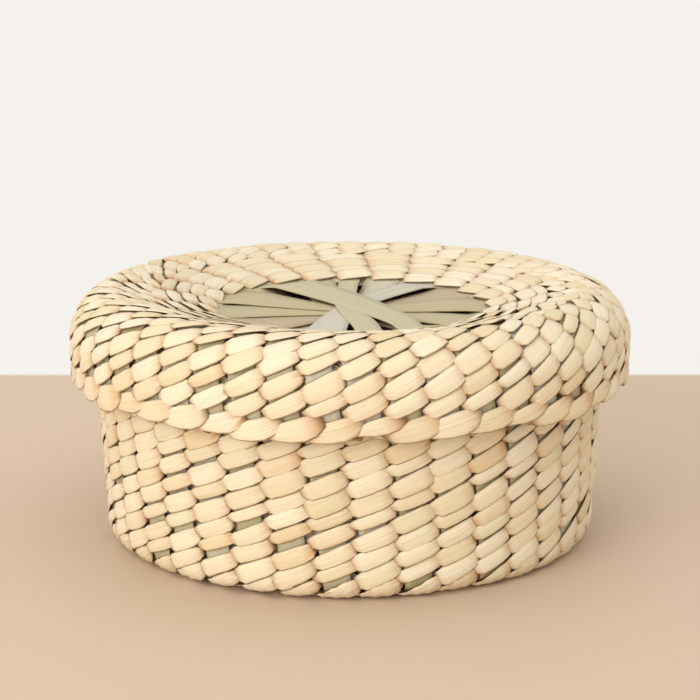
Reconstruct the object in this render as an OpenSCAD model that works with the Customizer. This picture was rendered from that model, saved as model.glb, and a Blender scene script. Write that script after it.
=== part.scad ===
// Tortilla warmer: a round basket with a lift-off lid, twined from palm leaf.
// Flat leaf strips cross at the middle of the base and of the lid and run out as stakes.
// Rounds of slanting weft hold them, one course outside the stakes and one inside.
// Millimetres, +Z up, origin at the centre of the face that it stands on.

/* [Basket] */
// Outer radius of the basket at its rim
rim_r = 100.5; // [90:0.5:115]
// Lean of the wall, outwards from the upright, in degrees
wall_lean = 3; // [0:0.5:6]
// Radius of the turn from the base into the wall, at the middle of the weave
heel_r = 4; // [3.8:0.2:8]
// Radius of the opening in the middle of the base, where the strips cross
base_hub_r = 49; // [44:0.5:56]
// Strips that cross in the middle of the base
base_strips = 10; // [7:1:13]

/* [Lid] */
// Clear gap between the basket's rim and the inside of the lid's skirt
lid_gap = 2.9; // [1.5:0.1:6]
// Height of the lid's lower edge above the table
lid_edge_z = 63.2; // [52:0.2:70]
// Height of the highest point of the lid above the table
lid_top_z = 98.2; // [93:0.2:110]
// Outer radius of the lid's rounded shoulder
shoulder_r = 19; // [15:0.5:22]
// Fall of the lid's top towards its middle, in degrees
dish_fall = 12; // [4:0.5:16]
// Radius of the opening in the middle of the lid, where the strips cross
lid_hub_r = 53.5; // [50:0.5:58]
// Straight run of the slit stakes on the lid's falling top, from the crossing strips to the shoulder
lid_slit_run = 10; // [6:0.5:13]
// Strips that cross in the middle of the lid
lid_strips = 12; // [9:1:15]
// Gap between the basket's rim and the underside of the lid that rests on it
seat_gap = 0.3; // [0.3:0.05:1]

/* [Weave] */
// Thickness of one course of weft
weft_t = 2.6; // [2:0.1:3]
// Gap between one round and the next
round_gap = 0.35; // [0.3:0.05:0.8]
// Rounded edge of a course: how far it reaches along the wall
crown_run = 1.8; // [1:0.1:2.2]
// Rounded edge of a course: how far it falls back
crown_fall = 1.1; // [0.6:0.1:1.4]
// Half width of the slanting furrow between two knuckles, at the crown
furrow_w = 2.2; // [1:0.1:2.6]
// Depth of the furrow between two knuckles
furrow_d = 1.9; // [1:0.1:2]
// Slant of the furrows, from the upright, in degrees
furrow_slant = 42; // [20:1:55]

/* [Strips and stakes] */
// Thickness of a leaf strip
strip_t = 0.4; // [0.3:0.05:0.6]
// Width of a strip where the strips cross
strip_w = 10.5; // [8:0.5:11.5]
// Width of a stake in the wall and in the lid's side
stake_w = 5.6; // [4:0.2:6]
// Gap between a strip or stake and the weft on each side of it
strip_gap = 0.15; // [0.1:0.05:0.4]
// Gap between two strips where they lie across each other
pile_gap = 0.04; // [0.02:0.01:0.1]

/* [Border] */
// Height of the plaited border on the lid's lower edge
lid_border_h = 8.6; // [6:0.2:10]
// How far the lid's border stands out past the weave
lid_border_out = 0.7; // [0:0.1:1.5]
// Height of the border on the basket's rim
rim_border_h = 6.4; // [5:0.2:8]
// Depth to which the stakes are tucked into a border
tuck = 3.6; // [2:0.2:4.5]
// Gap round the tucked ends of the stakes
tuck_gap = 0.2; // [0.1:0.05:0.4]
// Slant of the furrows in a border, from the upright, in degrees
border_slant = 52; // [20:1:60]

/* [Hidden] */
$fn = 180;
leaf = "#ecd9b4";
leaf_inside = "#e2cda4";
green = "#b9b690";
base_rounds = 6;
wall_rounds = 12;
top_rounds = 4;
side_rounds = 7;

// Turn of the weave about the axis, in pitches of the side's stakes, of the hub's and of the strips.
// A strip lies midway between two furrows of the hub, and its end is slit into two of the side's stakes.
side_turn = 0.25;
hub_turn = side_turn / 2 + 0.5;
strip_turn = side_turn / 2;

// Bend of the weave that one flat of a course or of a stake covers at most, in degrees
bend_step = 8;

// How much the rounds of the lid's side grow towards its border, as a share of their mean height
side_growth = 0.1;

// Half of the weave's thickness, and where a course starts, from the middle of the weave
course_in = strip_t / 2 + strip_gap;
half_t = course_in + weft_t;
pile_step = strip_t + pile_gap;

// Middle surface of the lid: fall to the hub, shoulder, skirt.
// The top's rounds end where the strips are slit, and the side's rounds start there.
skirt_r = rim_r + lid_gap + half_t;
lid_bend = shoulder_r - half_t;
lid_bend_at = [skirt_r - lid_bend, lid_top_z - shoulder_r];
lid_fall_at = lid_bend_at + lid_bend * [cos(90 + dish_fall), sin(90 + dish_fall)];
lid_fall_len = (lid_fall_at[0] - lid_hub_r) / cos(dish_fall);
lid_top_len = lid_fall_len - lid_slit_run;
lid_bend_len = lid_bend * (90 + dish_fall) * PI / 180;
lid_skirt_len = lid_bend_at[1] - lid_edge_z - lid_border_h;
lid_side_len = lid_slit_run + lid_bend_len + lid_skirt_len;

// Height of the rim: its outer corners stop seat_gap short of the inside of the lid's shoulder
rim_reach = shoulder_r - 2 * half_t - seat_gap;
rim_top_by_top = sqrt(pow(rim_reach, 2) - pow(rim_r - crown_fall - lid_bend_at[0], 2));
rim_top_by_side = sqrt(pow(rim_reach, 2) - pow(rim_r - lid_bend_at[0], 2)) + crown_run;
rim_top = lid_bend_at[1] + min(rim_top_by_top, rim_top_by_side);

// Middle surface of the basket: base, heel, wall
wall_top_r = rim_r - half_t / cos(wall_lean);
wall_foot_z = half_t + heel_r - heel_r * sin(wall_lean);
wall_len = (rim_top - rim_border_h - wall_foot_z) / cos(wall_lean);
wall_foot_r = wall_top_r - (rim_top - wall_foot_z) * tan(wall_lean);
heel_at = [wall_foot_r - heel_r * cos(wall_lean), half_t + heel_r];
base_len = heel_at[0] - base_hub_r;
heel_len = heel_r * (90 - wall_lean) * PI / 180;
wall_side_len = heel_len + wall_len;

// A point of a middle surface, by its length from the hub: [radius, height, tilt of the normal]
function basket_path(s) =
    s < base_len ? [base_hub_r + s, half_t, -90] :
    s < base_len + heel_len ?
        let (a = (s - base_len) / heel_r * 180 / PI - 90)
        [heel_at[0] + heel_r * cos(a), heel_at[1] + heel_r * sin(a), a] :
    let (w = s - base_len - heel_len)
    [wall_foot_r + w * sin(wall_lean), wall_foot_z + w * cos(wall_lean), -wall_lean];

function lid_path(s) =
    s < lid_fall_len ?
        let (w = s - lid_fall_len)
        [lid_fall_at[0] + w * cos(dish_fall), lid_fall_at[1] + w * sin(dish_fall), 90 + dish_fall] :
    s < lid_fall_len + lid_bend_len ?
        let (a = 90 + dish_fall - (s - lid_fall_len) / lid_bend * 180 / PI)
        [lid_bend_at[0] + lid_bend * cos(a), lid_bend_at[1] + lid_bend * sin(a), a] :
    [skirt_r, lid_bend_at[1] - (s - lid_fall_len - lid_bend_len), 0];

function path(lid, s) = lid ? lid_path(s) : basket_path(s);

// A point off the middle surface, by its length along it and its distance outwards
function off(lid, s, out) = let (p = path(lid, s)) [p[0] + out * cos(p[2]), p[1] + out * sin(p[2])];

// Lengths at which a piece from one length to another has the points of its outline:
// its ends, and even steps along the part of the bend that it covers
function stations(lid, from, to) =
    let (
        bend = lid ? [lid_fall_len, lid_fall_len + lid_bend_len] : [base_len, base_len + heel_len],
        a = max(from, bend[0]),
        b = min(to, bend[1])
    )
    b <= a ? [from, to] :
    let (steps = ceil(abs(path(lid, b)[2] - path(lid, a)[2]) / bend_step))
    concat(
        from < a ? [from] : [],
        [for (i = [0 : steps]) a + (b - a) * i / steps],
        b < to ? [to] : []
    );

// Where round i of the lid's side ends
function side_end(i) = lid_top_len
    + lid_side_len * i / side_rounds * (1 + side_growth * (i / side_rounds - 1));

// Section of one course: along the stakes on one side and crowned on the other
module course_section(lid, s, height, side) {
    ends = [s - height / 2, s + height / 2];
    run = min(crown_run, height / 3);
    polygon(concat(
        [for (at = stations(lid, ends[0], ends[1])) off(lid, at, side * course_in)],
        [off(lid, ends[1], side * (half_t - crown_fall))],
        [off(lid, ends[1] - run, side * half_t)],
        [off(lid, ends[0] + run, side * half_t)],
        [off(lid, ends[0], side * (half_t - crown_fall))]
    ));
}

// A slanting furrow across a round, in the frame of the crown at angle 0
module furrow(slant, length, depth, half_width) {
    rotate([-slant, 0, 0])
        linear_extrude(height = length, center = true)
            polygon([[-depth, 0], [depth / 4, -half_width * 1.25], [depth / 4, half_width * 1.25]]);
}

// The furrows of one round, evenly spaced between the stakes; first is the place of number 0, in pitches
module furrows(at, count, first, slant, length, out, depth) {
    for (k = [0 : count - 1])
        rotate([0, 0, 360 * (k + first) / count])
            translate([at[0], 0, at[1]])
                rotate([0, -at[2], 0])
                    translate([out, 0, 0])
                        furrow(slant, length, depth, furrow_w);
}

// One round of weft: a knuckled course outside the stakes and a plain one inside
module weft_round(lid, s, pitch, count, first) {
    color(leaf)
        difference() {
            rotate_extrude()
                course_section(lid, s, pitch - round_gap, 1);
            furrows(path(lid, s), count, first, furrow_slant, 4 * pitch, half_t, furrow_d);
        }
    color(leaf_inside)
        rotate_extrude()
            course_section(lid, s, pitch - round_gap, -1);
}

// Strips that cross in the middle, each on its own level, bedding into the weave at the opening.
// Neighbours lie several levels apart: lay and the count share no factor, so no level is used twice.
module crossed_strips(lid, count, hub_r, end_s) {
    lay = count % 5 == 0 ? 7 : 5;
    clear_r = strip_w / 2 / sin(90 / count);
    mid_z = path(lid, 0)[1];
    half_strip = strip_t / 2;
    end_r = path(lid, end_s)[0];
    for (i = [0 : count - 1]) {
        level = mid_z + ((lay * i) % count - (count - 1) / 2) * pile_step;
        upper = concat(
            [[0, level + half_strip], [clear_r, level + half_strip]],
            [for (s = [0, end_s]) off(lid, s, lid ? half_strip : -half_strip)]
        );
        lower = concat(
            [for (s = [end_s, 0]) off(lid, s, lid ? -half_strip : half_strip)],
            [[clear_r, level - half_strip], [0, level - half_strip]]
        );
        rotate([0, 0, 180 * (i + strip_turn) / count])
            intersection() {
                rotate([90, 0, 0])
                    linear_extrude(height = strip_w, center = true)
                        union() {
                            polygon(concat(upper, lower));
                            mirror([1, 0]) polygon(concat(upper, lower));
                        }
                linear_extrude(height = 2 * lid_top_z)
                    polygon([
                        [-end_r - 1, -stake_w], [-hub_r, -strip_w / 2],
                        [hub_r, -strip_w / 2], [end_r + 1, -stake_w],
                        [end_r + 1, stake_w], [hub_r, strip_w / 2],
                        [-hub_r, strip_w / 2], [-end_r - 1, stake_w]
                    ]);
            }
    }
}

// Stakes that follow the side, from the end of the strips into the border
module side_stakes(lid, count, from, to) {
    points = stations(lid, from, to);
    last = len(points) - 1;
    for (k = [0 : count - 1])
        rotate([0, 0, 360 * (k + 0.5 + side_turn) / count])
            rotate([90, 0, 0])
                linear_extrude(height = stake_w, center = true)
                    polygon(concat(
                        [for (s = points) off(lid, s, strip_t / 2)],
                        [for (j = [last : -1 : 0]) off(lid, points[j], -strip_t / 2)]
                    ));
}

// A plaited border: a ring with a slot for the stakes' ends and slanting furrows outside
module border(lid, s, height, out, count) {
    slot = strip_t / 2 + tuck_gap;
    slot_end = s + tuck + tuck_gap;
    far = s + height;
    color(leaf)
        difference() {
            rotate_extrude()
                polygon([
                    off(lid, s, -half_t + crown_fall), off(lid, s, -slot), off(lid, slot_end, -slot),
                    off(lid, slot_end, slot), off(lid, s, slot),
                    off(lid, s, out - crown_fall), off(lid, s + crown_run, out),
                    off(lid, far - crown_run, out), off(lid, far, out - crown_fall),
                    off(lid, far, -half_t + crown_fall), off(lid, far - crown_run, -half_t),
                    off(lid, s + crown_run, -half_t)
                ]);
            furrows(path(lid, s + height / 2), count, side_turn, border_slant, 4 * height, out, furrow_d);
        }
}

module base_strips() {
    color(green)
        crossed_strips(false, base_strips, base_hub_r, base_len - strip_gap);
}

module wall_stakes() {
    color(green)
        side_stakes(false, 4 * base_strips, base_len, base_len + wall_side_len + tuck);
}

module base_round(i) {
    pitch = base_len / base_rounds;
    weft_round(false, (i - 0.5) * pitch, pitch, 2 * base_strips, hub_turn);
}

module wall_round(i) {
    pitch = wall_side_len / wall_rounds;
    weft_round(false, base_len + (i - 0.5) * pitch, pitch, 4 * base_strips, side_turn);
}

module rim_border() {
    border(false, base_len + wall_side_len + round_gap / 2, rim_border_h, half_t, 4 * base_strips);
}

module lid_strips() {
    color(green)
        crossed_strips(true, lid_strips, lid_hub_r, lid_top_len - strip_gap);
}

module lid_stakes() {
    color(green)
        side_stakes(true, 4 * lid_strips, lid_top_len, side_end(side_rounds) + tuck);
}

module lid_top_round(i) {
    pitch = lid_top_len / top_rounds;
    weft_round(true, (i - 0.5) * pitch, pitch, 2 * lid_strips, hub_turn);
}

module lid_side_round(i) {
    ends = [side_end(i - 1), side_end(i)];
    weft_round(true, (ends[0] + ends[1]) / 2, ends[1] - ends[0], 4 * lid_strips, side_turn);
}

module lid_border() {
    border(true, side_end(side_rounds), lid_border_h, half_t + lid_border_out, 4 * lid_strips);
}

base_strips();
wall_stakes();
rim_border();
for (i = [1 : base_rounds])
    base_round(i);
for (i = [1 : wall_rounds])
    wall_round(i);
lid_strips();
lid_stakes();
lid_border();
for (i = [1 : top_rounds])
    lid_top_round(i);
for (i = [1 : side_rounds])
    lid_side_round(i);
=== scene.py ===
# %% [markdown]
# # A tortilla warmer twined from palm leaf
#
# The basket and its lift-off lid come from the CAD part as plain rings with furrows. This lesson
# dresses them in what the eye sees: two strands of leaf that twine round the stakes, the green
# strips that cross in the openings, and the plaited borders. All of it is worked out as arrays of
# points, so every leaf can differ a little and the whole still closes round the basket.

# %% Setup
import math

import bpy
import numpy as np
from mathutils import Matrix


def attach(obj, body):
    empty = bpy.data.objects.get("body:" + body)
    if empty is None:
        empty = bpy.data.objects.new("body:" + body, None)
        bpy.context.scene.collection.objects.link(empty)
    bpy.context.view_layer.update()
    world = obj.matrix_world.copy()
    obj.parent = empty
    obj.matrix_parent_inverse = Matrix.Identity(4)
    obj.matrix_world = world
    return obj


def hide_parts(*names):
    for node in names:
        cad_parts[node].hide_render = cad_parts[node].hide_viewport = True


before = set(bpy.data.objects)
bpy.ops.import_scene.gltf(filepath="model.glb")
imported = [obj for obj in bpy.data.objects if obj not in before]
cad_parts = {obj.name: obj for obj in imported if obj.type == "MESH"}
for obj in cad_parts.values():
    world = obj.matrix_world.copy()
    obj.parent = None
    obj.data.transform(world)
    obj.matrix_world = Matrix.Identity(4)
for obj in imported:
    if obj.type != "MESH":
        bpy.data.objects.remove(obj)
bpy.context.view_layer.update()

MM = 0.001

# %% [markdown]
# ## The camera
#
# The photograph looks at the basket from the front and a little from above. The camera could be
# aimed last. It comes first here, 0.8 m away and looking down by 13 degrees, so that every look at
# the work in progress is the same look. Its lens follows from a focal length in pixels.

# %% Camera
PICTURE_PX = 700
FOCAL_PX = 2094
SENSOR_MM = 36.0
CAMERA_AT = (0.0 * MM, -800 * MM, 255.2 * MM)
LOOKING_DOWN = math.radians(13.0)

camera = bpy.data.objects.new("camera", bpy.data.cameras.new("camera"))
bpy.context.scene.collection.objects.link(camera)
camera.data.sensor_width = SENSOR_MM
camera.data.lens = SENSOR_MM * FOCAL_PX / PICTURE_PX
camera.location = CAMERA_AT
camera.rotation_euler = (math.pi / 2 - LOOKING_DOWN, 0, 0)
bpy.context.scene.camera = camera
bpy.context.scene.view_settings.view_transform = "Standard"
print("lens, mm:", round(camera.data.lens, 1))

# %% [markdown]
# ## The two shells
#
# Everything is woven on one of two surfaces of revolution: the basket's (flat base, heel, wall)
# and the lid's (falling top, rounded shoulder, skirt). Flat weave could be bent to them with
# modifiers. One formula does it more exactly, and puts each round where the part has it: a shell
# is a straight run, an arc and a straight run, so a point on it is the arc's centre, plus the
# radius along the normal, plus what is left of the length along the tangent. A piece of weave is
# first worked out flat and then laid on its shell.

# %% Shells: a point from its length along the shell, its distance off it, and its angle
class Shell:
    """Middle surface of the weave: straight run, arc, straight run, turned about Z, in mm. The
    length along it starts at the opening; up is 1 where it grows upwards, -1 where downwards."""

    def __init__(self, centre, radius, first_deg, last_deg, hub_r, up):
        self.centre, self.radius, self.up = centre, radius, up
        self.first, self.last = math.radians(first_deg), math.radians(last_deg)
        self.sense = 1.0 if last_deg > first_deg else -1.0
        self.arc_len = radius * abs(self.last - self.first)
        arc_start_r = centre[0] + radius * math.cos(self.first)
        self.run_len = (arc_start_r - hub_r) / abs(math.sin(self.first))

    def profile(self, s, out=0.0):
        """Radius and height: centre + (radius + out) * normal + (s - arc part) * tangent."""
        on_arc = np.clip(s - self.run_len, 0.0, self.arc_len)
        a = self.first + self.sense * on_arc / self.radius
        rest = s - self.run_len - on_arc
        r = self.centre[0] + (self.radius + out) * np.cos(a) - self.sense * rest * np.sin(a)
        z = self.centre[1] + (self.radius + out) * np.sin(a) + self.sense * rest * np.cos(a)
        return r, z

    def lay(self, s, out, angle):
        """Points in metres: the profile's point turned about Z by angle."""
        r, z = self.profile(s, out)
        return np.stack([r * np.cos(angle), r * np.sin(angle), z], axis=-1) * MM


trial = Shell((10.0, 5.0), 5.0, -90, 0, 4.0, up=1)
print("radius and height where a trial arc starts:", [float(v) for v in trial.profile(6.0)])

# %% Sizes of the two shells, in mm and degrees
HALF_T = 2.95                           # half the thickness of the weave
RIM_R, RIM_TOP, WALL_LEAN = 100.5, 88.2, 3.0
HEEL_R, BASE_HUB_R = 4.0, 49.0          # bend from base to wall, opening in the base
LID_TOP_Z, LID_EDGE_Z, LID_GAP = 98.2, 63.2, 2.9
SHOULDER_R, DISH_FALL, LID_HUB_R = 19.0, 12.0, 53.5
LID_SLIT_RUN = 10.0                     # the strips are slit this far before the shoulder
RIM_BORDER_H, LID_BORDER_H = 6.4, 8.6
SKIRT_R = RIM_R + LID_GAP + HALF_T

lean = math.radians(WALL_LEAN)
wall_foot_z = HALF_T + HEEL_R * (1 - math.sin(lean))
wall_foot_r = RIM_R - HALF_T / math.cos(lean) - (RIM_TOP - wall_foot_z) * math.tan(lean)
basket_shell = Shell((wall_foot_r - HEEL_R * math.cos(lean), HALF_T + HEEL_R), HEEL_R,
                     -90, -WALL_LEAN, BASE_HUB_R, up=1)
lid_bend = SHOULDER_R - HALF_T
lid_shell = Shell((SKIRT_R - lid_bend, LID_TOP_Z - SHOULDER_R), lid_bend,
                  90 + DISH_FALL, 0, LID_HUB_R, up=-1)
WALL_LEN = (RIM_TOP - RIM_BORDER_H - wall_foot_z) / math.cos(lean)
SKIRT_LEN = LID_TOP_Z - SHOULDER_R - LID_EDGE_Z - LID_BORDER_H
LID_TOP_LEN = lid_shell.run_len - LID_SLIT_RUN
LID_SIDE_LEN = LID_SLIT_RUN + lid_shell.arc_len + SKIRT_LEN
print("runs, mm:", round(basket_shell.run_len, 2), round(lid_shell.run_len, 2))

# %% [markdown]
# ## From grids of points to meshes
#
# A leaf is long and thin, so every piece here is a grid: one direction runs along the leaf, the
# other goes round its thin section. A curve with a bevel would keep one section from end to end,
# and a leaf doesn't. The points are worked out all at once as arrays and written into the mesh
# with foreach_set.

# %% Meshes from grids
def grid_faces(rows, columns, closed_rows):
    """Corner numbers of the quads between neighbouring rows; the columns always close round."""
    i = np.arange(rows if closed_rows else rows - 1)[:, None]
    j = np.arange(columns)[None, :]
    after_i, after_j = (i + 1) % rows, (j + 1) % columns
    return np.stack([i * columns + j, after_i * columns + j,
                     after_i * columns + after_j, i * columns + after_j], axis=-1).reshape(-1, 4)


def mesh_piece(name, points, faces, corner_uv, tint=None):
    """An object at the origin from points (n, 3), four-sided faces (m, 4) and a UV for each
    corner. A tint (n, 4) is a linear colour for each point, kept as the attribute "tint"."""
    mesh = bpy.data.meshes.new(name)
    mesh.vertices.add(len(points))
    mesh.vertices.foreach_set("co", points.astype(np.float32).ravel())
    mesh.loops.add(faces.size)
    mesh.loops.foreach_set("vertex_index", faces.astype(np.int32).ravel())
    mesh.polygons.add(len(faces))
    mesh.polygons.foreach_set("loop_start", np.arange(0, faces.size, 4, dtype=np.int32))
    mesh.update(calc_edges=True)
    mesh.shade_smooth()
    mesh.uv_layers.new(name="leaf").data.foreach_set("uv", corner_uv.astype(np.float32).ravel())
    if tint is not None:
        mesh.attributes.new("tint", "FLOAT_COLOR", "POINT").data.foreach_set(
            "color", tint.astype(np.float32).ravel())
    mesh.validate()
    piece = bpy.data.objects.new(name, mesh)
    bpy.context.scene.collection.objects.link(piece)
    return piece


print("faces of an open and a closed grid of 3 by 4 points:",
      len(grid_faces(3, 4, False)), len(grid_faces(3, 4, True)))

# %% UV map of a leaf
def leaf_uv(rows, columns, along_start, along_end, across, closed_rows):
    """UV of each face corner: U is the place along the leaf, V the place across it."""
    steps = rows if closed_rows else rows - 1
    along = along_start + (along_end - along_start) * np.arange(steps + 1) / steps
    i = np.arange(steps)[:, None]
    j = np.arange(columns)[None, :]
    u0 = np.broadcast_to(along[i], (steps, columns))
    u1 = np.broadcast_to(along[i + 1], (steps, columns))
    v0 = np.broadcast_to(across[j], (steps, columns))
    v1 = np.broadcast_to(across[(j + 1) % columns], (steps, columns))
    u = np.stack([u0, u1, u1, u0], axis=-1)
    v = np.stack([v0, v0, v1, v1], axis=-1)
    return np.stack([u, v], axis=-1).reshape(-1, 2)


print("UV corners of the closed grid:", len(leaf_uv(3, 4, 0, 1, np.linspace(0, 1, 4), True)))

# %% [markdown]
# ## One pass of a strand
#
# A strand of weft goes outside one stake and inside the next, and each pass shows as a short
# slanting pillow. Its left end comes up from under the pass before it, its right end goes down
# under the next one. One pillow could be sculpted and copied round, but copies look stamped and
# don't join. So a table gives eight cross-lines of a pass, from left to right: where the leaf's
# lower and upper edges are, in column widths along the round, in row heights up the wall and in
# mm off the stakes, and how many mm the leaf swells between its edges.

# %% Cross-lines of one pass, on the wall and on the lid's side
#     lower edge: along, up, out    upper edge: along, up, out    swell, and two blanks
WALL_PASS = np.array([
    [[-0.50, -0.50, 0.50], [-0.58, -0.36, 0.40], [0.1, 0, 0]],
    [[-0.44, -0.70, 1.60], [-0.59, -0.22, 1.25], [0.25, 0, 0]],
    [[-0.22, -0.80, 2.05], [-0.41, 0.12, 1.65], [0.55, 0, 0]],
    [[0.07, -0.58, 2.15], [-0.11, 0.43, 1.75], [0.6, 0, 0]],
    [[0.34, -0.32, 2.15], [0.15, 0.69, 1.70], [0.6, 0, 0]],
    [[0.55, -0.02, 1.95], [0.38, 0.84, 1.45], [0.35, 0, 0]],
    [[0.62, 0.26, 1.05], [0.52, 0.80, 0.60], [0.1, 0, 0]],
    [[0.52, 0.34, -0.10], [0.52, 0.60, -0.20], [0.0, 0, 0]],
])
LINES = len(WALL_PASS)
print("cross-lines in a pass:", LINES, " highest, in rows:", WALL_PASS[:, 1, 1].max())

# %% Cross-lines of a border's pass: longer and more pointed, over the start of the next one
BORDER_PASS = np.array([
    [[-0.60, -0.46, 0.40], [-0.70, -0.40, 0.20], [0.1, 0, 0]],
    [[-0.46, -0.54, 1.20], [-0.64, -0.20, 0.90], [0.25, 0, 0]],
    [[-0.20, -0.56, 1.65], [-0.46, 0.04, 1.40], [0.35, 0, 0]],
    [[0.12, -0.56, 1.90], [-0.20, 0.26, 1.65], [0.4, 0, 0]],
    [[0.44, -0.47, 2.05], [0.12, 0.43, 1.80], [0.4, 0, 0]],
    [[0.71, -0.24, 2.10], [0.45, 0.56, 1.80], [0.25, 0, 0]],
    [[0.93, 0.18, 1.80], [0.80, 0.58, 1.50], [0.1, 0, 0]],
    [[0.76, 0.34, 0.15], [0.72, 0.52, -0.15], [0.0, 0, 0]],
])
print("a border's pass ends at column", BORDER_PASS[:, 0, 0].max())

# %% Cross-lines on the lid's top: the edge away from the opening stands off more, like a shingle
TOP_PASS = np.array([
    [[-0.44, -0.55, 0.30], [-0.58, -0.30, 0.10], [0.1, 0, 0]],
    [[-0.38, -0.70, 1.60], [-0.54, -0.05, 0.90], [0.3, 0, 0]],
    [[-0.17, -0.70, 2.10], [-0.33, 0.24, 1.15], [0.4, 0, 0]],
    [[0.08, -0.60, 2.20], [-0.07, 0.46, 1.15], [0.5, 0, 0]],
    [[0.33, -0.46, 2.20], [0.19, 0.60, 1.15], [0.5, 0, 0]],
    [[0.54, -0.24, 1.90], [0.40, 0.67, 0.95], [0.35, 0, 0]],
    [[0.59, 0.04, 0.90], [0.48, 0.60, 0.20], [0.1, 0, 0]],
    [[0.52, 0.20, -0.10], [0.52, 0.48, -0.20], [0.0, 0, 0]],
])
print("its two edges stand off by, mm:", TOP_PASS[:, 0, 2].max(), TOP_PASS[:, 1, 2].max())

# %% Section of the leaf: six points across its outward face, and two back along the other face
ACROSS = np.array([0.0, 0.10, 0.36, 0.66, 0.91, 1.0, 0.80, 0.20])
OUTER = np.array([1, 1, 1, 1, 1, 1, 0, 0], float)
LEAF_T = 0.4
SWELL_POWER = 3.2
SECTION = len(ACROSS)


def swell_of(across):
    """Share of the swell at a point across the leaf: 1 - |2v - 1| ** 3.2, full in the middle."""
    return 1 - np.abs(2 * across - 1) ** SWELL_POWER


print("points round the leaf:", SECTION, " faces in a pass:", SECTION * LINES)

# %% [markdown]
# ## A round of weft
#
# Two strands make a round, and each is outside where the other is inside. They could be bent one
# by one along a wavy curve. As arrays they twine round any number of stakes at once: the inside
# pass is the outside one turned over about the line of the round, and moved out by the leaf's
# thickness, because a leaf's place is that of its outward face. No two leaves are alike, so every
# pass gets its own small changes of height, width, slant and swell from a seeded generator.

# %% Cross-lines of a strand
# What one unit of chance does to a pass, in rows, columns, mm or shares of its swell.
RISE, LOWER_EDGE, UPPER_EDGE, SLANT = 0.035, 0.050, 0.045, 0.03
SIDEWAYS, OFF_STAKES, LEAN_OUT, FULLER = 0.020, 0.12, 0.12, 0.13
CHANCES, FARTHEST = 8, 2                # draws for a pass, none farther than this from 0
# Where the lower edge's chance is under -NARROW_FROM, the leaf is narrower by NARROWER rows.
NARROWER, NARROW_FROM = 0.14, 0.8
# How far each cross-line follows chance: fully in the middle of the pass, not at all at its end.
EASE = np.array([0.5, 0.8, 1, 1, 1, 0.8, 0.5, 0])


def strand_lines(passes, count, first, rng, unevenness):
    """Cross-lines of a whole strand, (count * LINES, 3, 3), in columns, rows and mm off the
    stakes: the pass's own, plus ease times what chance does, turned over for an inside pass."""
    lines = np.repeat(passes[None], count, axis=0)
    wobble = rng.normal(size=(count, CHANCES)).clip(-FARTHEST, FARTHEST) * unevenness
    rise, lower, upper, sideways, off, lean_out, fuller, slant = wobble.T[..., None]
    tip = np.linspace(-1, 1, LINES)[None, :]
    lines[:, :, 0, 1] += EASE * (RISE * rise - LOWER_EDGE * lower + SLANT * tip * slant)
    lines[:, :, 0, 1] += EASE * NARROWER * (lower < -NARROW_FROM * unevenness)
    lines[:, :, 1, 1] += EASE * (RISE * rise + UPPER_EDGE * upper - SLANT * tip * slant)
    lines[:, :, :2, 0] += (EASE * SIDEWAYS * sideways)[..., None]
    lines[:, :, :2, 2] += (EASE * OFF_STAKES * off)[..., None]
    lines[:, :, 0, 2] += EASE * LEAN_OUT * lean_out
    lines[:, :, 2, 0] *= 1 + FULLER * fuller
    inside = lines.copy()
    inside[:, :, :2] = lines[:, :, 1::-1] * [1, -1, -1]
    inside[:, :, :2, 2] += LEAF_T
    inside[:, :, 2, 0] *= -1
    is_inside = ((np.arange(count) + first) % 2 == 1)[:, None, None, None]
    lines = np.where(is_inside, inside, lines)
    lines[:, :, :2, 0] += np.arange(count)[:, None, None]
    return lines.reshape(count * LINES, 3, 3)


print("cross-lines of a trial strand:",
      len(strand_lines(WALL_PASS, 4, 0, np.random.default_rng(0), 1.0)))

# %% Points of a strand, and the slow wave of a round
def strand_points(lines):
    """Points round the section: edge + v * (other edge - edge), swollen, less the thickness on
    the face that is turned away."""
    lower, upper, swell = lines[:, None, 0], lines[:, None, 1], lines[:, 2, 0]
    points = lower + ACROSS[None, :, None] * (upper - lower)
    points[:, :, 2] += swell[:, None] * swell_of(ACROSS) - LEAF_T * (1 - OUTER)
    return points


def slow_wave(angle, rng, size):
    """A gentle rise and fall round the basket: four sines of 2 to 9 turns, chance strengths."""
    turns = np.array([2, 3, 5, 9])
    strength = rng.normal(size=len(turns)) * size / 2
    start = rng.uniform(0, 2 * math.pi, len(turns))
    return (strength * np.sin(turns * angle[..., None] + start)).sum(-1)


print("slow wave at the front of a trial round, rows:",
      round(float(slow_wave(np.array(-math.pi / 2), np.random.default_rng(0), 0.05)), 3))

# %% A round of two strands
WAVE = 0.05                             # rows that a slow wave rises and falls
PASS_SEED, WAVE_SEED = 1000, 2000
NUMBERS = 100                           # numbers set aside for the passes of a strand


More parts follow.
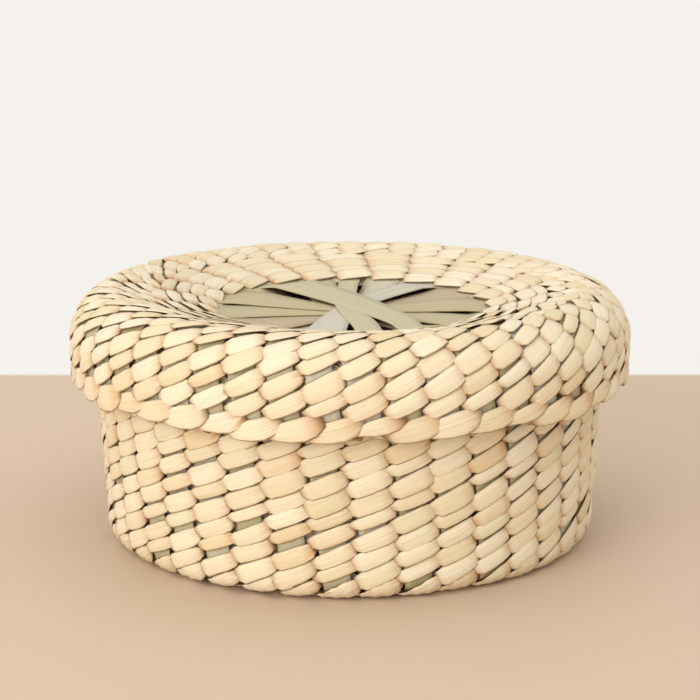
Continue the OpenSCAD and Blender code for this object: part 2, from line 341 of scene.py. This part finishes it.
def woven_round(name, body, shell, at, pitch, count, turn, passes=WALL_PASS, depth=1.0, seed=0,
                unevenness=1.0, fullness=1.0):
    """Two strands at length `at` along the shell, `count` columns round it, turned by `turn`
    columns: place = lay(at + row * pitch, mm off the stakes * depth, column angle). A fullness
    under 1 draws both edges of the leaf in towards its middle line, so more green shows."""
    rng = np.random.default_rng(PASS_SEED + seed)
    passes = passes.copy()
    middle = passes[:, :2, :2].mean(axis=1, keepdims=True)
    passes[:, :2, :2] = middle + (passes[:, :2, :2] - middle) * fullness
    points, faces, uvs = [], [], []
    for strand in (0, 1):
        flat = strand_points(strand_lines(passes, count, strand, rng, unevenness))
        angle = (flat[..., 0] + turn) * 2 * math.pi / count
        wave = slow_wave(angle, np.random.default_rng(WAVE_SEED + seed), WAVE * unevenness)
        row = flat[..., 1] + wave
        laid = shell.lay(at + shell.up * row * pitch, flat[..., 2] * depth, angle)
        number = (2 * seed + strand) * NUMBERS
        faces.append(grid_faces(count * LINES, SECTION, True) + sum(map(len, points)))
        uvs.append(leaf_uv(count * LINES, SECTION, number, number + count, ACROSS, True))
        points.append(laid.reshape(-1, 3))
    piece = mesh_piece(name, np.concatenate(points), np.concatenate(faces), np.concatenate(uvs))
    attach(piece, body)
    return piece


print("faces in a round of 40 columns:", 2 * 40 * LINES * SECTION)

# %% [markdown]
# ## Wall and base of the basket
#
# On the real basket one pair of strands winds from the middle of the base up to the rim. It could
# be one spiral. Here each round closes on itself, because the part has a node for each round, and
# each of these pieces stands for exactly one. Every round is turned a little to the left of the
# one below, as its passes are in the photograph, and the rounds grow fuller towards the rim.

# %% Basket wall
WALL_ROUNDS, WALL_COLUMNS, STAKE_AT, COLUMN_DRIFT = 12, 40, 0.75, -0.05
WALL_UNEVEN, WALL_FULL, WALL_FULLER = 1.4, 0.87, 0.014
weft = []
wall_pitch = (basket_shell.arc_len + WALL_LEN) / WALL_ROUNDS
for i in range(1, WALL_ROUNDS + 1):
    weft.append(woven_round(f"weft_wall_{i}", "basket", basket_shell,
                            basket_shell.run_len + (i - 0.5) * wall_pitch, wall_pitch,
                            WALL_COLUMNS, STAKE_AT + COLUMN_DRIFT * i, seed=i,
                            unevenness=WALL_UNEVEN, fullness=WALL_FULL + WALL_FULLER * i))
    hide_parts(f"wall_round_{i}")
print("rounds on the wall:", len(weft), " one is high, mm:", round(wall_pitch, 2))

# %% Basket base
BASE_ROUNDS, HUB_COLUMNS, HUB_STAKE_AT = 6, 20, 0.125
BASE_DEPTH, BASE_SEED = 0.95, 20
base_pitch = basket_shell.run_len / BASE_ROUNDS
for i in range(1, BASE_ROUNDS + 1):
    weft.append(woven_round(f"weft_base_{i}", "basket", basket_shell, (i - 0.5) * base_pitch,
                            base_pitch, HUB_COLUMNS, HUB_STAKE_AT, seed=BASE_SEED + i,
                            depth=BASE_DEPTH))
    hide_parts(f"base_round_{i}")
print("rounds on the basket:", len(weft))

# %% [markdown]
# ## Side and top of the lid
#
# The lid is woven as the basket is. Four rounds lie on its falling top, and seven run over the
# shoulder and down the skirt, where the strips are slit and a column is half as wide. Scaled
# copies of the basket's rounds would have thicker leaves, so the same function makes the lid's
# rounds from numbers of their own. The side's rounds grow towards the border.

# %% Lid side
SIDE_ROUNDS, LID_COLUMNS, LID_DRIFT, SIDE_GROWTH = 7, 48, 0.09, 0.1
SIDE_UNEVEN, SIDE_FULL, SIDE_LESS_FULL, LID_DEPTH, SIDE_SEED = 1.4, 1.09, 0.027, 0.97, 30


def side_end(i):
    """Length along the shell where round i ends: share i / n, times 1 + growth * (i / n - 1)."""
    return LID_TOP_LEN + LID_SIDE_LEN * i / SIDE_ROUNDS * (1 + SIDE_GROWTH * (i / SIDE_ROUNDS - 1))


for i in range(1, SIDE_ROUNDS + 1):
    start, end = side_end(i - 1), side_end(i)
    weft.append(woven_round(f"weft_lid_side_{i}", "lid", lid_shell, (start + end) / 2, end - start,
                            LID_COLUMNS, STAKE_AT + LID_DRIFT * i, seed=SIDE_SEED + i,
                            unevenness=SIDE_UNEVEN, fullness=SIDE_FULL - SIDE_LESS_FULL * i,
                            depth=LID_DEPTH))
    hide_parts(f"lid_side_round_{i}")
print("first and last round of the side are high, mm:",
      round(side_end(1) - side_end(0), 2), round(end - start, 2))

# %% Lid top
TOP_ROUNDS, LID_HUB_COLUMNS = 4, 24
TOP_UNEVEN, TOP_FULL, TOP_SEED = 1.1, 1.07, 40
top_pitch = LID_TOP_LEN / TOP_ROUNDS
for i in range(1, TOP_ROUNDS + 1):
    weft.append(woven_round(f"weft_lid_top_{i}", "lid", lid_shell, (i - 0.5) * top_pitch, top_pitch,
                            LID_HUB_COLUMNS, HUB_STAKE_AT + LID_DRIFT * (i - TOP_ROUNDS),
                            passes=TOP_PASS, seed=TOP_SEED + i, unevenness=TOP_UNEVEN,
                            fullness=TOP_FULL, depth=LID_DEPTH))
    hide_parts(f"lid_top_round_{i}")
print("rounds in all:", len(weft))

# %% [markdown]
# ## Borders
#
# At the rim and at the lid's edge the ends of the stakes are plaited over one another, which shows
# as one round of larger, slanting, pointed knuckles. The plait could be modelled leaf by leaf. One
# more round with a pass of its own gives the same picture and joins the weave without a gap.

# %% Borders
RIM_BORDER_SEED, LID_BORDER_SEED = 50, 51
LID_BORDER_UNEVEN, LID_BORDER_SHIFT = 1.3, 1.3
rim_border = woven_round("rim_border_weave", "basket", basket_shell,
                         basket_shell.run_len + basket_shell.arc_len + WALL_LEN + RIM_BORDER_H / 2,
                         RIM_BORDER_H, WALL_COLUMNS, STAKE_AT + COLUMN_DRIFT * (WALL_ROUNDS + 1),
                         passes=BORDER_PASS, seed=RIM_BORDER_SEED)
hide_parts("rim_border")
lid_border = woven_round("lid_border_weave", "lid", lid_shell,
                         lid_shell.run_len + lid_shell.arc_len + SKIRT_LEN + LID_BORDER_H / 2,
                         LID_BORDER_H, LID_COLUMNS,
                         STAKE_AT + LID_DRIFT * (SIDE_ROUNDS + LID_BORDER_SHIFT),
                         passes=BORDER_PASS, seed=LID_BORDER_SEED, unevenness=LID_BORDER_UNEVEN)
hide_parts("lid_border")
weft += [rim_border, lid_border]
print("passes in all:", sum(len(piece.data.polygons) for piece in weft) // (LINES * SECTION))

# %% [markdown]
# ## Strips and stakes
#
# Under the weft run flat green strips. On the wall and on the lid's side they are stakes, one for
# each column, and they show as slivers between the pillows. In the two openings they cross as a
# star. A plane with Solidify could make each of them. Here a strip is a thin band with a centre
# line, a width across it, and a height that can differ from edge to edge, because a whole piece of
# them is then one array, and each band is closed at its ends.

# %% Bands
BAND_ACROSS = np.array([-1, -0.5, 0, 0.5, 1, 1, 0.5, 0, -0.5, -1])
BAND_SIDE = np.array([1, 1, 1, 1, 1, -1, -1, -1, -1, -1], float)
BAND_T = 0.35
BAND_START, BAND_END = 0.05, 0.95       # places along the leaf at a band's two ends


def band_faces(bands, stations):
    """Quads of several closed bands: the skin between the stations, and a row on each end."""
    n, half = len(BAND_ACROSS), len(BAND_ACROSS) // 2
    skin = grid_faces(stations, n, False)
    j = np.arange(half - 1)
    first = np.stack([j, j + 1, n - 2 - j, n - 1 - j], axis=-1)
    last = first[:, ::-1] + (stations - 1) * n
    one = np.concatenate([skin, first, last])
    return (one[None] + np.arange(bands)[:, None, None] * stations * n).reshape(-1, 4)


def band_uv(bands, stations, first_number):
    """U is the strip's number plus 0.05 to 0.95 along it, V runs across it from 0 to 1."""
    v = (BAND_ACROSS + 1) / 2
    end_corners = np.zeros((2 * (len(v) // 2 - 1) * 4, 2))
    numbers = [first_number + k for k in range(bands)]
    return np.concatenate([np.concatenate([
        leaf_uv(stations, len(v), number + BAND_START, number + BAND_END, v, False),
        end_corners + number]) for number in numbers])


print("faces in a band of 30 stations:", len(band_faces(1, 30)))

# %% Greens of the strips
def srgb(red, green, blue):
    """A colour as it shows on screen, 0 to 255, turned into a shader's linear numbers: c / 12.92
    for the darkest, else ((c + 0.055) / 1.055) ** 2.4."""
    c = np.array([red, green, blue]) / 255
    linear = np.where(c <= 0.04045, c / 12.92, ((c + 0.055) / 1.055) ** 2.4)
    return (*[float(v) for v in linear], 1.0)


SAGE, OLIVE, PALE = srgb(195, 185, 150), srgb(190, 175, 134), srgb(204, 195, 168)
SILVER, TAWNY = srgb(202, 195, 176), srgb(188, 166, 133)
GREENS = np.array([SAGE, OLIVE, PALE, SILVER, TAWNY])
GREEN_SHARES = [0.38, 0.32, 0.20, 0.05, 0.05]


def chance_tints(bands, seed):
    """A green for each band, mostly sage and olive, a few silvery or tawny."""
    return GREENS[np.random.default_rng(seed).choice(len(GREENS), bands, p=GREEN_SHARES)]


print("greens:", len(GREENS))

# %% Pieces made of bands
def bands_piece(name, body, points, first_number, tints=None):
    """A piece from points (bands, stations, section, 3) in metres, with a tint for each band."""
    bands, stations, section = points.shape[:3]
    tints = chance_tints(bands, first_number) if tints is None else np.array(tints)
    piece = mesh_piece(name, points.reshape(-1, 3), band_faces(bands, stations),
                       band_uv(bands, stations, first_number),
                       np.repeat(tints, stations * section, axis=0))
    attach(piece, body)
    print(name, "bands:", bands)
    return piece


def shell_bands(name, body, shell, start, end, angles, drift, width, out, first_number, steps=30):
    """Bands laid along a shell from length start to end: place = lay(s, out +- half a thickness,
    angle + drift * (s - start) + half a width / radius)."""
    s = start + (end - start) * np.linspace(0, 1, steps)[None, :, None]
    out_at = out + BAND_SIDE * BAND_T / 2
    radius = shell.profile(s, 0.0)[0]
    across = -shell.up * BAND_ACROSS
    angle = angles[:, None, None] + drift * (s - start) + across * width / 2 / radius
    points = shell.lay(np.broadcast_to(s, angle.shape), np.broadcast_to(out_at, angle.shape), angle)
    return bands_piece(name, body, points, first_number)


def stake_angles(columns, first):
    """Angles of evenly spaced stakes: (number + first) * a full turn / columns."""
    return (np.arange(columns) + first) * 2 * math.pi / columns


print("angle between two stakes of the wall, degrees:",
      round(math.degrees(np.diff(stake_angles(WALL_COLUMNS, STAKE_AT))[0]), 2))

# %% Stakes of the wall and of the lid's side
STAKE_W, STAKE_OUT = 10.0, 0.5
STAKE_BEFORE, STAKE_BEYOND = 2, 3       # mm that a stake goes on under the weft at each end
WALL_STAKE_NO, LID_STAKE_NO, LID_STAKE_STEPS = 7000, 7100, 36
wall_stakes = shell_bands(
    "leaf_wall_stakes", "basket", basket_shell, basket_shell.run_len - STAKE_BEFORE,
    basket_shell.run_len + basket_shell.arc_len + WALL_LEN + STAKE_BEYOND,
    stake_angles(WALL_COLUMNS, STAKE_AT), COLUMN_DRIFT / wall_pitch * 2 * math.pi / WALL_COLUMNS,
    STAKE_W, STAKE_OUT, WALL_STAKE_NO)
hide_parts("wall_stakes")
side_pitch = LID_SIDE_LEN / SIDE_ROUNDS
lid_stakes = shell_bands(
    "leaf_lid_stakes", "lid", lid_shell, LID_TOP_LEN - STAKE_BEFORE,
    LID_TOP_LEN + LID_SIDE_LEN + STAKE_BEYOND,
    stake_angles(LID_COLUMNS, STAKE_AT), LID_DRIFT / side_pitch * 2 * math.pi / LID_COLUMNS,
    STAKE_W, STAKE_OUT, LID_STAKE_NO, steps=LID_STAKE_STEPS)
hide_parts("lid_stakes")

# %% [markdown]
# ## The star of strips
#
# In the lid's opening each strip comes out from under the first round, bends a little on its way
# over the middle and goes under the weft on the far side. The strips are bunched in the middle and
# fan out towards the weft. Straight bars would be quicker, but the bends and the unequal widths
# are what makes the star look woven. So a strip is a curve through five points: one hidden under
# the weft, one at the edge of the opening, one near the middle, and the same two on the far side.

# %% Strips across an opening
STRIP_RISE = 14                         # mm over which a strip comes to its own level
LID_HIDDEN_R, BASE_HIDDEN_R = 66.0, 87.5    # where the strips end, under the weft


def through(knots, steps):
    """Smooth curve through knots (bands, 5, n), evenly spaced in its own measure:
    (2b + (c - a)t + (2a - 5b + 4c - d)t^2 + (3b - a - 3c + d)t^3) / 2."""
    ends = np.concatenate([2 * knots[:, :1] - knots[:, 1:2], knots,
                           2 * knots[:, -1:] - knots[:, -2:-1]], axis=1)
    t = np.linspace(0, knots.shape[1] - 1, steps)
    k = np.minimum(t.astype(int), knots.shape[1] - 2)
    f = (t - k)[None, :, None]
    a, b, c, d = (ends[:, k + n] for n in range(4))
    return 0.5 * (2 * b + (c - a) * f + (2 * a - 5 * b + 4 * c - d) * f ** 2
                  + (3 * b - a - 3 * c + d) * f ** 3)


def strip_points(shell, hub_r, hidden_r, table, steps=44):
    """Bands across an opening. Each row of the table: x, y, width at the first edge, in the middle
    and at the last edge (mm), then level above the shell and tilt (mm). The height is the shell's
    at the edge of the opening, eased by 3t^2 - 2t^3 to the strip's own level inside it."""
    stops = table[:, :9].reshape(-1, 3, 3)
    far = stops[:, [0, 2]].copy()
    far[:, :, :2] *= hidden_r / np.linalg.norm(far[:, :, :2], axis=-1, keepdims=True)
    line = through(np.concatenate([far[:, :1], stops, far[:, 1:]], axis=1), steps)
    centre, width = line[..., :2], line[..., 2:]
    level, tilt = table[:, None, 9:10], table[:, None, 10:11]
    heading = np.gradient(centre, axis=1)
    heading /= np.linalg.norm(heading, axis=-1, keepdims=True)
    side = np.stack([-heading[..., 1], heading[..., 0]], axis=-1)
    flat = centre[:, :, None] + side[:, :, None] * (BAND_ACROSS * width / 2)[..., None]
    s = np.maximum(np.linalg.norm(flat, axis=-1) - hub_r, 0) / abs(math.sin(shell.first))
    from_edge = hub_r - np.linalg.norm(centre, axis=-1, keepdims=True)
    inside = np.clip(from_edge / STRIP_RISE, 0, 1)
    inside = inside * inside * (3 - 2 * inside)
    z = shell.profile(s)[1] + (level + tilt * BAND_ACROSS / 2) * inside + BAND_SIDE * BAND_T / 2
    return np.concatenate([flat, z[..., None]], axis=-1) * MM


print("middle of a trial curve:", through(np.arange(5.0)[None, :, None], 5)[0, 2])

# %% Star of the lid
LID_STAR_NO = 7200
LID_STAR = np.array([
    # first x, y, width   middle x, y, width   last x, y, width   level, tilt
    [-27, 41, 20, 0, 1, 16, 24, -45, 10, 2.4, 0.8],
    [0, 50, 8, -1.5, -2, 9, 7.5, -50, 10, 1.9, 0.3],
    [28, 41, 16, 1, -5, 11, -9.5, -50, 15, 1.3, 0.6],
    [50, 3, 27, 0, -7, 10, -48, 19, 28, 0.7, 0.0],
    [46, -27, 23, 0, -12, 10, -51, -10, 24, 0.2, 0.0],
    [43, 28, 22, 2, -6, 12, -38, -33, 27, -0.4, 0.0],
    [-13, 50, 14, -4, 0, 11, 33, -41, 17, -1.0, 0.0],
    [13, 50, 14, 0, -4, 10, -24, -46, 18, -1.5, 0.0],
    [-39, 34, 19, 0, -4, 10, 51, -14, 8, -2.0, 0.0],
    [-52, 3, 12, 0, -6, 10, 49, 18, 13, -2.4, 0.0],
], float)
LID_STAR_TINTS = [SAGE, SAGE, SILVER, OLIVE, OLIVE, TAWNY, SAGE, PALE, OLIVE, PALE]
lid_star = bands_piece("leaf_lid_star", "lid",
                       strip_points(lid_shell, LID_HUB_R, LID_HIDDEN_R, LID_STAR),
                       LID_STAR_NO, LID_STAR_TINTS)
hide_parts("lid_strips")

# %% Star of the base: ten even strips, each at a level of its own
BASE_STAR_NO = 7300
BASE_STRIPS, BASE_LAY, LEVEL_STEP, BASE_STRIP_W = 10, 7, 0.44, 10.5
strip_no = np.arange(BASE_STRIPS)
bearing = math.pi * (strip_no + HUB_STAKE_AT) / BASE_STRIPS
base_table = np.zeros((BASE_STRIPS, LID_STAR.shape[1]))
base_table[:, 0], base_table[:, 1] = BASE_HUB_R * np.cos(bearing), BASE_HUB_R * np.sin(bearing)
base_table[:, 6:8] = -base_table[:, 0:2]
base_table[:, 2:9:3] = BASE_STRIP_W
base_table[:, 9] = LEVEL_STEP * (BASE_LAY * strip_no % BASE_STRIPS - (BASE_STRIPS - 1) / 2)
base_star = bands_piece("leaf_base_star", "basket",
                        strip_points(basket_shell, BASE_HUB_R, BASE_HIDDEN_R, base_table),
                        BASE_STAR_NO)
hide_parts("base_strips")

# %% Strips under the rounds of the lid's top, one for each column
SPOKE_NO, SPOKE_W, SPOKE_OUT, SPOKE_STEPS = 7400, 11.0, 0.0, 8
SPOKE_START, SPOKE_SHORT = -2.0, 1      # mm into the opening, and short of the slit
lid_spokes = shell_bands("leaf_lid_spokes", "lid", lid_shell, SPOKE_START,
                         LID_TOP_LEN - SPOKE_SHORT, stake_angles(LID_HUB_COLUMNS, HUB_STAKE_AT),
                         0.0, SPOKE_W, SPOKE_OUT, SPOKE_NO, steps=SPOKE_STEPS)
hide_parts("lid_strips")
green_pieces = [wall_stakes, lid_stakes, lid_star, base_star, lid_spokes]

# %% [markdown]
# ## Shader maths
#
# Leaf isn't one colour, so its finish is worked out from noise and from the place on the leaf.
# Nodes could be added and linked one by one. Written as ordinary expressions they are easier to
# read and change: a Value wraps one socket of a node, and each operator adds the Math node that
# works it out. Any other node comes from Finish.node.

# %% Value: a socket that takes part in expressions
class Value:
    """A socket in a material, with + - and * that add Math nodes."""

    def __init__(self, finish, socket):
        self.finish, self.socket = finish, socket

    def maths(self, operation, *values):
        return self.finish.node("ShaderNodeMath", {"operation": operation}, dict(enumerate(values)))

    def __add__(self, other): return self.maths("ADD", self, other)
    def __radd__(self, other): return self.maths("ADD", other, self)
    def __sub__(self, other): return self.maths("SUBTRACT", self, other)
    def __rsub__(self, other): return self.maths("SUBTRACT", other, self)
    def __mul__(self, other): return self.maths("MULTIPLY", self, other)
    def __rmul__(self, other): return self.maths("MULTIPLY", other, self)
    def floor(self): return self.maths("FLOOR", self)
    def fraction(self): return self.maths("FRACT", self)
    def absolute(self): return self.maths("ABSOLUTE", self)

    def ramp(self, low, high):
        """0 below low, 1 above high, and a smooth climb between: 3t^2 - 2t^3."""
        return self.finish.node("ShaderNodeMapRange",
                                {"clamp": True, "interpolation_type": "SMOOTHSTEP"},
                                {"Value": self, "From Min": low, "From Max": high})


print("operators:", sum(name in vars(Value) for name in
                        ("__add__", "__radd__", "__sub__", "__rsub__", "__mul__", "__rmul__")))

# %% Finish: a material and the nodes in it
STREAK_DETAIL = 3.0


class Finish:
    """A material with one Principled shader."""

    def __init__(self, name, roughness, specular):
        self.material = bpy.data.materials.new(name)
        self.material.use_nodes = True
        self.nodes = self.material.node_tree.nodes
        self.links = self.material.node_tree.links
        self.shader = self.nodes["Principled BSDF"]
        self.shader.inputs["Roughness"].default_value = roughness
        self.shader.inputs["Specular IOR Level"].default_value = specular

    def feed(self, socket, value):
        """Links a Value to a socket, or sets the socket to a number or colour."""
        if isinstance(value, Value):
            self.links.new(value.socket, socket)
        else:
            socket.default_value = value

    def node(self, kind, settings=None, inputs=None, output=0):
        """Adds a node: its settings first, then the values or links of its sockets."""
        made = self.nodes.new(kind)
        for key, value in (settings or {}).items():
            setattr(made, key, value)
        for key, value in (inputs or {}).items():
            self.feed(made.inputs[key], value)
        return Value(self, made.outputs[output])

    def mix(self, factor, first, second):
        """A Mix node between two colours; the numbers are its colour sockets."""
        return self.node("ShaderNodeMix", {"data_type": "RGBA"},
                         {0: factor, 6: first, 7: second}, output=2)

    def colour(self, value): self.feed(self.shader.inputs["Base Color"], value)

    def bump(self, height, strength, distance):
        """A Bump node on the Normal; distance is in metres."""
        self.feed(self.shader.inputs["Normal"],
                  self.node("ShaderNodeBump", None,
                            {"Height": height, "Strength": strength, "Distance": distance}))

    def leaf_place(self):
        """The piece's UV map as two Values: place along the leaf, place across it."""
        uv = self.node("ShaderNodeUVMap", {"uv_map": "leaf"})
        return [self.node("ShaderNodeSeparateXYZ", None, {0: uv}, output=n) for n in (0, 1)]

    def streaks(self, along, across, apart):
        """Noise at the point (along, across, apart): the larger the scale of across beside that
        of along, the finer and longer the streaks; leaves with another apart get another noise."""
        where = self.node("ShaderNodeCombineXYZ", None, {0: along, 1: across, 2: apart})
        return self.node("ShaderNodeTexNoise", None,
                         {"Vector": where, "Scale": 1.0, "Detail": STREAK_DETAIL})


print("octaves in a streak:", STREAK_DETAIL)

# %% [markdown]
# ## Palm leaf
#
# Dried palm leaf is pale straw with fine veins along it. Each pass of a strand is a little
# different, and its ends, where the leaf is bent hard, turn brown. An image of a leaf would repeat
# from pass to pass. Here the strand's UV map carries the place along the leaf, counted in passes,
# so its whole part names the pass and draws its colours, and its fraction is the place in it.

# %% Weft finish
STRAW, DEEP_STRAW = srgb(241, 228, 199), srgb(231, 211, 174)
GREENISH, HONEY = srgb(214, 206, 160), srgb(222, 184, 122)
BROAD_STREAK, VEIN = srgb(216, 188, 140), srgb(204, 172, 120)
# The second colour on the next line is painted shade, for the creases where a pass goes down
# between its neighbours.
BROWN_END, CREASE_SHADE, CUT_EDGE = srgb(194, 134, 72), srgb(132, 92, 56), srgb(180, 132, 84)
BETWEEN_PASSES = 7.3                    # from one pass to the next in the noise
BUMP_HEIGHT = 0.4 * MM


def leaf_finish():
    """Straw, then chance colours, streaks, brown ends, painted crease shade and edges, each mixed
    over it.
    """
    leaf = Finish("palm_leaf", roughness=0.52, specular=0.35)
    along, across = leaf.leaf_place()
    which, place = along.floor(), along.fraction()

    def chance(shift):
        """A number from 0 to 1 for each pass."""
        return leaf.node("ShaderNodeTexWhiteNoise", {"noise_dimensions": "1D"},
                         {"W": which + shift})

    def streaks(length, width, shift):
        """Streaks of this pass: scales along and across the leaf, and a shift for each use."""
        return leaf.streaks(along * length, across * width, which * BETWEEN_PASSES + shift)

    # Each pass between two straws, and about one in ten partly greenish or honey brown.
    tone, hue, age = chance(0.1), chance(0.37), chance(0.71)
    colour = leaf.mix(tone, STRAW, DEEP_STRAW)
    colour = leaf.mix(hue.ramp(0.84, 0.98) * 0.35, colour, GREENISH)
    colour = leaf.mix(age.ramp(0.90, 1.0) * 0.35, colour, HONEY)
    # Broad streaks and fine veins along the leaf.
    broad, fine = streaks(1.2, 5.0, 0.0), streaks(2.0, 26.0, 3.1)
    colour = leaf.mix(broad.ramp(0.5, 0.75) * 0.35, colour, BROAD_STREAK)
    colour = leaf.mix(fine.ramp(0.48, 0.72) * 0.22, colour, VEIN)
    # Brown towards both ends, in patches, and more on an older leaf.
    ends = (place.ramp(0.48, 0.76) + (1 - place.ramp(0.12, 0.26)) * 0.6) * (0.35 + age * 0.65)
    patch = streaks(3.0, 3.0, 9.7).ramp(0.28, 0.50)
    colour = leaf.mix(ends * patch * 0.95, colour, BROWN_END)
    # Painted shade where the leaf goes down between its neighbours, and a little brown on its cut
    # edges.
    crease_shade = place.ramp(0.67, 0.78) + (1 - place.ramp(0.11, 0.17))
    colour = leaf.mix(crease_shade * 0.65, colour, CREASE_SHADE)
    edge = (across - 0.5).absolute().ramp(0.43, 0.5)
    colour = leaf.mix(edge * 0.25, colour, CUT_EDGE)
    leaf.colour(colour)
    # Folds along the leaf, deeper towards its ends, under the veins.
    folds = streaks(0.6, 9.0, 5.5) * (0.5 + place.ramp(0.35, 0.7)
                                      + (1 - place.ramp(0.15, 0.35)) * 0.6)
    leaf.bump(fine * 0.7 + broad * 0.6 + folds * 2.0, 0.5, BUMP_HEIGHT)
    return leaf.material


weft_leaf = leaf_finish()
for piece in weft:
    piece.data.materials.append(weft_leaf)
print("weft finish nodes:", len(weft_leaf.node_tree.nodes))

# %% [markdown]
# ## Green strips
#
# Strips and stakes are the same leaf, cut younger and dried flat: sage to olive, with a few
# silvery or tawny ones and faint streaks. Each green could be a material of its own. One material
# reads each band's tint from the attribute on its points, so a new strip needs no new material.

# %% Strip finish
TAWNY_STREAK, GREEN_VEIN = srgb(190, 168, 130), srgb(160, 154, 118)
BETWEEN_BANDS = 5.1                     # from one band to the next in the noise
VEIN_HEIGHT = 0.2 * MM


def strip_finish():
    """The band's tint, with broad tawny streaks and fine green veins mixed over it."""
    strip = Finish("green_leaf", roughness=0.5, specular=0.4)
    along, across = strip.leaf_place()
    apart = along.floor() * BETWEEN_BANDS
    tint = strip.node("ShaderNodeAttribute", {"attribute_name": "tint"})
    broad = strip.streaks(along * 5.0, across * 3.0, apart)
    fine = strip.streaks(along * 8.0, across * 34.0, apart)
    colour = strip.mix(broad.ramp(0.52, 0.75) * 0.4, tint, TAWNY_STREAK)
    colour = strip.mix(fine.ramp(0.45, 0.7) * 0.25, colour, GREEN_VEIN)
    strip.colour(colour)
    strip.bump(fine, 0.3, VEIN_HEIGHT)
    return strip.material


green_leaf = strip_finish()
for piece in green_pieces:
    piece.data.materials.append(green_leaf)
print("strip finish nodes:", len(green_leaf.node_tree.nodes))

# %% [markdown]
# ## Floor and backdrop
#
# The photograph has a warm pale surface under the basket and white behind it. A separate backdrop
# would need placing for each view. One large floor does both: behind the basket its colour turns
# white, and for the camera's own rays that part shows at strength 1, so it looks white without any
# more light on the basket.

# %% Floor
FLOOR_HALF, TABLE_EDGE_Y, EDGE_BLUR = 6.0, 250 * MM, 5 * MM
TABLE, PAPER = srgb(213, 189, 164), srgb(245, 242, 237)


def plane(name, half, z):
    """A level square round the origin, its corners at +-half."""
    mesh = bpy.data.meshes.new(name)
    mesh.from_pydata([(-half, -half, z), (half, -half, z), (half, half, z), (-half, half, z)], [],
                     [(0, 1, 2, 3)])
    made = bpy.data.objects.new(name, mesh)
    bpy.context.scene.collection.objects.link(made)
    return made


floor = plane("floor", FLOOR_HALF, 0.0)
ground = Finish("ground", roughness=0.6, specular=0.2)
where = ground.node("ShaderNodeTexCoord", None, None, output=3)
depth_y = ground.node("ShaderNodeSeparateXYZ", None, {0: where}, output=1)
beyond = depth_y.ramp(TABLE_EDGE_Y - EDGE_BLUR, TABLE_EDGE_Y + EDGE_BLUR)
ground.colour(ground.mix(beyond, TABLE, PAPER))
paper = ground.node("ShaderNodeEmission", None, {"Color": PAPER, "Strength": 1.0})
seen = ground.node("ShaderNodeLightPath", None, None, output=0)
shown = ground.node("ShaderNodeMixShader", None,
                    {0: beyond * seen, 1: Value(ground, ground.shader.outputs[0]), 2: paper})
ground.links.new(shown.socket, ground.nodes["Material Output"].inputs["Surface"])
floor.data.materials.append(ground.material)
print("floor finish nodes:", len(ground.nodes))

# %% [markdown]
# ## Light
#
# The photograph is lit by a large soft window at the front left, and the room fills the shadows.
# A sun lamp would draw hard edges between the leaves. So a square area lamp stands for the window,
# a weaker one for the ceiling, and the world's even light for the rest of the room.

# %% Light
ROOM_COLOUR, ROOM_LEVEL = (1.0, 0.985, 0.96, 1.0), 0.87
world = bpy.data.worlds.new("studio")
bpy.context.scene.world = world
world.use_nodes = True
world.node_tree.nodes["Background"].inputs["Color"].default_value = ROOM_COLOUR
world.node_tree.nodes["Background"].inputs["Strength"].default_value = ROOM_LEVEL


def soft_light(name, at, aim, size, power):
    """A square area light that points from `at` to `aim`, in metres and watts."""
    light = bpy.data.objects.new(name, bpy.data.lights.new(name, "AREA"))
    light.data.size, light.data.energy = size, power
    light.location = at
    toward = np.array(aim) - np.array(at)
    tilt = math.atan2(math.hypot(toward[0], toward[1]), -toward[2])
    light.rotation_euler = (tilt, 0, math.atan2(toward[1], toward[0]) - math.pi / 2)
    bpy.context.scene.collection.objects.link(light)
    print(name, "tilted by degrees:", round(math.degrees(tilt), 1))


soft_light("window", at=(-1.3, -1.8, 0.7), aim=(0, 0, 0.05), size=1.5, power=28)
soft_light("ceiling", at=(0.2, -0.2, 2.2), aim=(0, 0, 0), size=2.4, power=8)

# %% [markdown]
# ## The object's size
#
# Dressing must not make the basket larger than the part. That could be judged by eye, but a
# millimetre wouldn't show.

# %% [markdown]
# ## Finish
#
# Every leaf rides on the basket or the lid, through attach. The lid could be lifted with keyframes.
# It isn't, because the part's own joint lifts it, and every leaf that rides on the lid goes with
# it.
